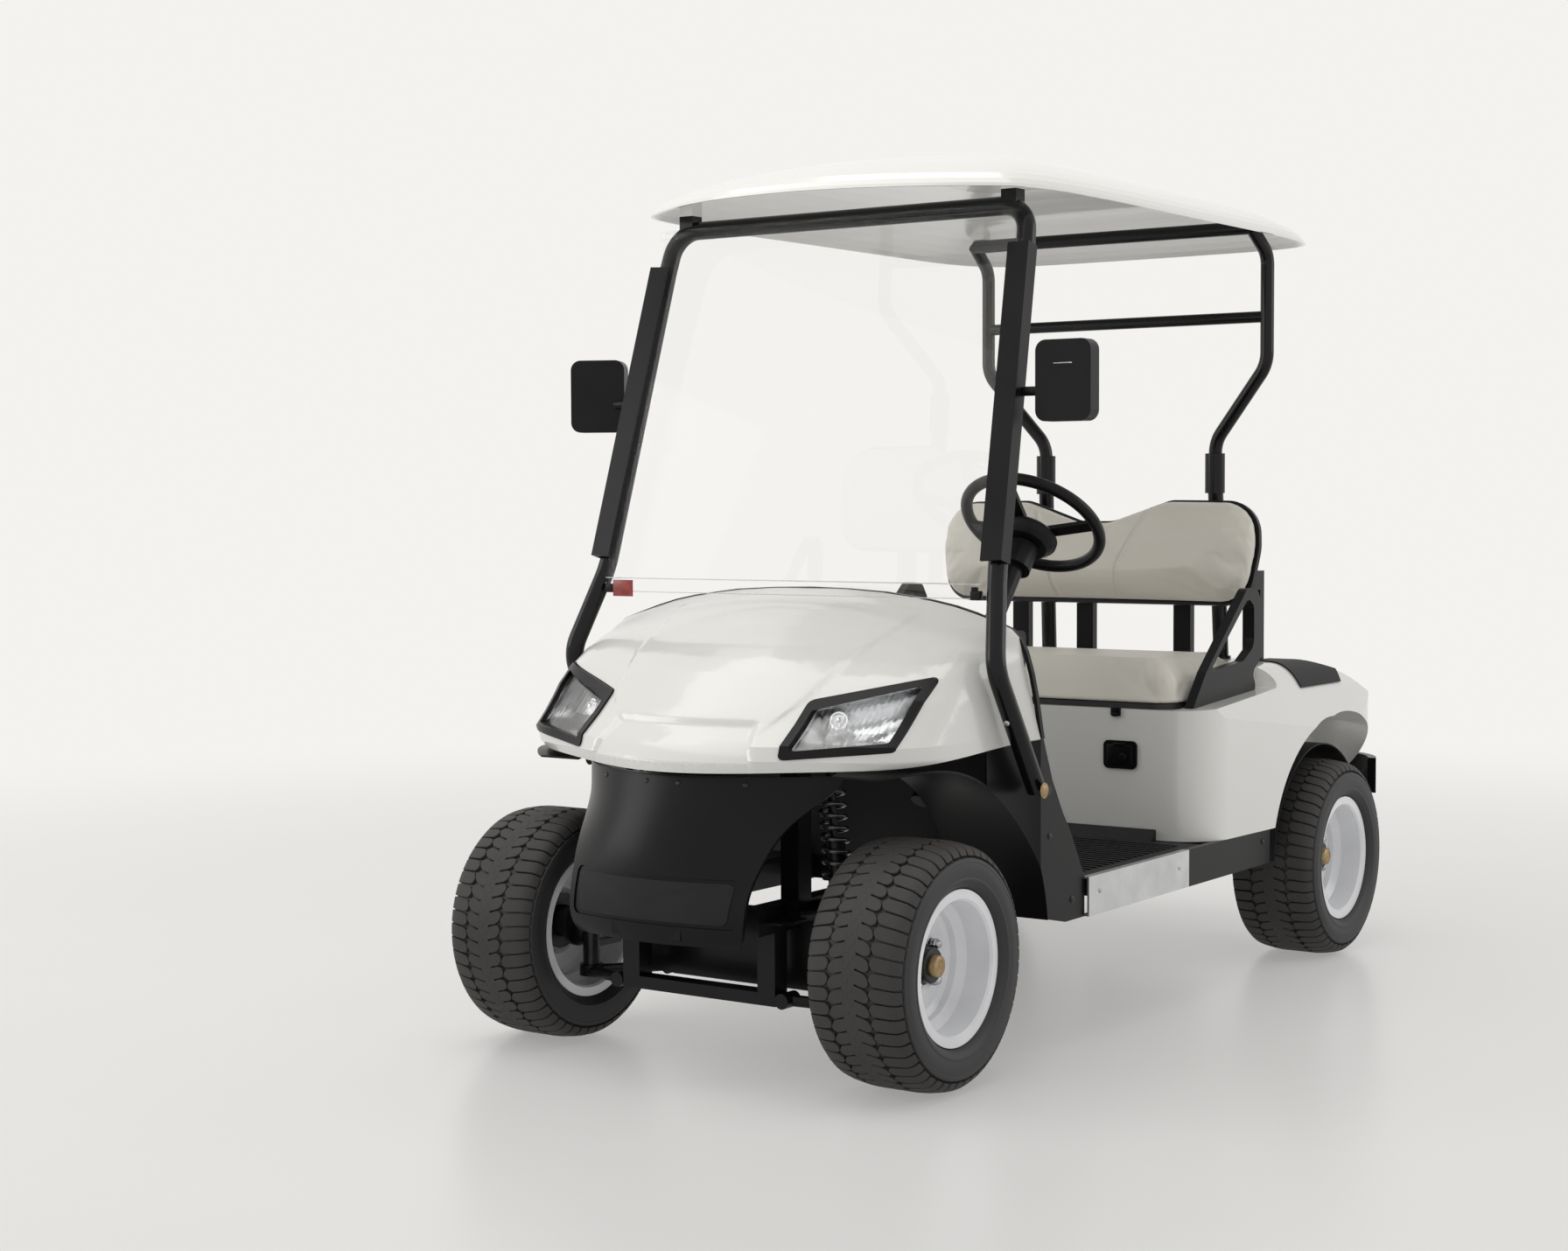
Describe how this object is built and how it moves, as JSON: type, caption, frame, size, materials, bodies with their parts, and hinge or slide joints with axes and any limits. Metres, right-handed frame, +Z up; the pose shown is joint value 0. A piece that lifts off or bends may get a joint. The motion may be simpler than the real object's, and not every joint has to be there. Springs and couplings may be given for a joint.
{
  "type": "golf cart",
  "caption": "Two-seat golf cart with a roof, clear windscreen, bench seat, side step plates and steerable wheels on wide tyres.",
  "frame": {"origin": "on the ground under the middle of the whole cart", "axes": "+X to the driver's side, +Y to the rear, +Z up"},
  "size_m": [1.2518, 2.3621, 1.805],
  "materials": {
    "tyre_rubber": "matt",
    "rim_paint": "gloss",
    "hub_iron": "satin",
    "frame_paint": "satin",
    "spring_paint": "gloss",
    "ribbed_mat": "matt",
    "black_moulding": "satin",
    "black_panel": "satin",
    "white_body": "gloss",
    "headlamp_lens": "clear",
    "tail_lens": "gloss",
    "bright_plate": "brushed",
    "strut_paint": "gloss",
    "clear_sheet": "clear",
    "mirror_face": "polished",
    "seat_board": "satin",
    "seat_vinyl": "satin",
    "battery_case": "matt"
  },
  "bodies": {
    "wheel_front_left": {"tyre_front_left": "tyre_rubber", "rim_front_left": "rim_paint", "hub_front_left": "hub_iron"},
    "wheel_front_right": {"tyre_front_right": "tyre_rubber", "rim_front_right": "rim_paint", "hub_front_right": "hub_iron"},
    "wheel_rear_left": {"tyre_rear_left": "tyre_rubber", "rim_rear_left": "rim_paint", "hub_rear_left": "hub_iron"},
    "wheel_rear_right": {"tyre_rear_right": "tyre_rubber", "rim_rear_right": "rim_paint", "hub_rear_right": "hub_iron"},
    "knuckle_left_body": {"knuckle_left": "frame_paint"},
    "knuckle_right_body": {"knuckle_right": "frame_paint"},
    "tie_rod_body": {"tie_rods": "frame_paint"},
    "steering_wheel_body": {"steering_wheel": "black_moulding"},
    "seat_lid": {"seat_base": "seat_board", "seat_cushion": "seat_vinyl"},
    "chassis": {"chassis_frame": "frame_paint", "rack_housing": "frame_paint", "front_suspension": "frame_paint", "front_springs": "spring_paint", "rear_axle": "frame_paint", "rear_springs": "frame_paint", "floor_pan": "ribbed_mat", "steering_column": "black_moulding", "pedals": "black_moulding", "front_cowl": "white_body", "cowl_trim": "black_moulding", "headlamp_bezels": "black_moulding", "headlamps": "headlamp_lens", "dashboard": "black_moulding", "front_aprons": "black_panel", "front_bumper": "black_panel", "sill_plates": "bright_plate", "sill_trim": "black_panel", "front_struts": "strut_paint", "windscreen": "clear_sheet", "windscreen_channels": "strut_paint", "mirrors": "black_moulding", "mirror_glass": "mirror_face", "roof": "white_body", "rear_struts": "strut_paint", "rear_body": "white_body", "bag_tray": "ribbed_mat", "deck_pads": "ribbed_mat", "rear_bumper": "frame_paint", "tail_lamps": "tail_lens", "charge_port": "black_moulding", "seat_back_cushion": "seat_vinyl", "seat_back_shell": "seat_board", "seat_supports": "strut_paint", "armrests": "black_moulding", "battery_pack": "battery_case"}
  },
  "joints": [
    {"name": "steer_left", "type": "hinge", "parent": "chassis", "child": "knuckle_left_body", "pos_m": [0.341, -0.917, 0.23], "axis": [0, 0, 1], "range_deg": [-30, 30]},
    {"name": "steer_right", "type": "hinge", "parent": "chassis", "child": "knuckle_right_body", "pos_m": [-0.341, -0.917, 0.23], "axis": [0, 0, 1], "range_deg": [-31, 31]},
    {"name": "tie_rod_slide", "type": "slide", "parent": "chassis", "child": "tie_rod_body", "axis": [1, 0, 0], "range_m": [-0.041, 0.041]},
    {"name": "steering_wheel_turn", "type": "hinge", "parent": "chassis", "child": "steering_wheel_body", "pos_m": [0.208, -0.089, 1.028], "axis": [0, 0.6392, 0.769], "range_deg": [-305, 305]},
    {"name": "wheel_spin_front_left", "type": "hinge", "parent": "knuckle_left_body", "child": "wheel_front_left", "pos_m": [0.4265, -0.917, 0.23], "axis": [1, 0, 0], "continuous": true},
    {"name": "wheel_spin_front_right", "type": "hinge", "parent": "knuckle_right_body", "child": "wheel_front_right", "pos_m": [-0.4265, -0.917, 0.23], "axis": [1, 0, 0], "continuous": true},
    {"name": "wheel_spin_rear_left", "type": "hinge", "parent": "chassis", "child": "wheel_rear_left", "pos_m": [0.473, 0.776, 0.23], "axis": [1, 0, 0], "continuous": true},
    {"name": "wheel_spin_rear_right", "type": "hinge", "parent": "chassis", "child": "wheel_rear_right", "pos_m": [-0.473, 0.776, 0.23], "axis": [1, 0, 0], "continuous": true},
    {"name": "seat_lid_hinge", "type": "hinge", "parent": "chassis", "child": "seat_lid", "pos_m": [0, 0.506, 0.6243], "axis": [-1, 0, 0], "range_deg": [0, 40]}
  ],
  "couplings": [
    {"joint": "steer_right", "follows": "steer_left", "ratio": 1},
    {"joint": "tie_rod_slide", "follows": "steer_left", "m_per_rad": -0.075},
    {"joint": "steering_wheel_turn", "follows": "steer_left", "ratio": 10}
  ]
}
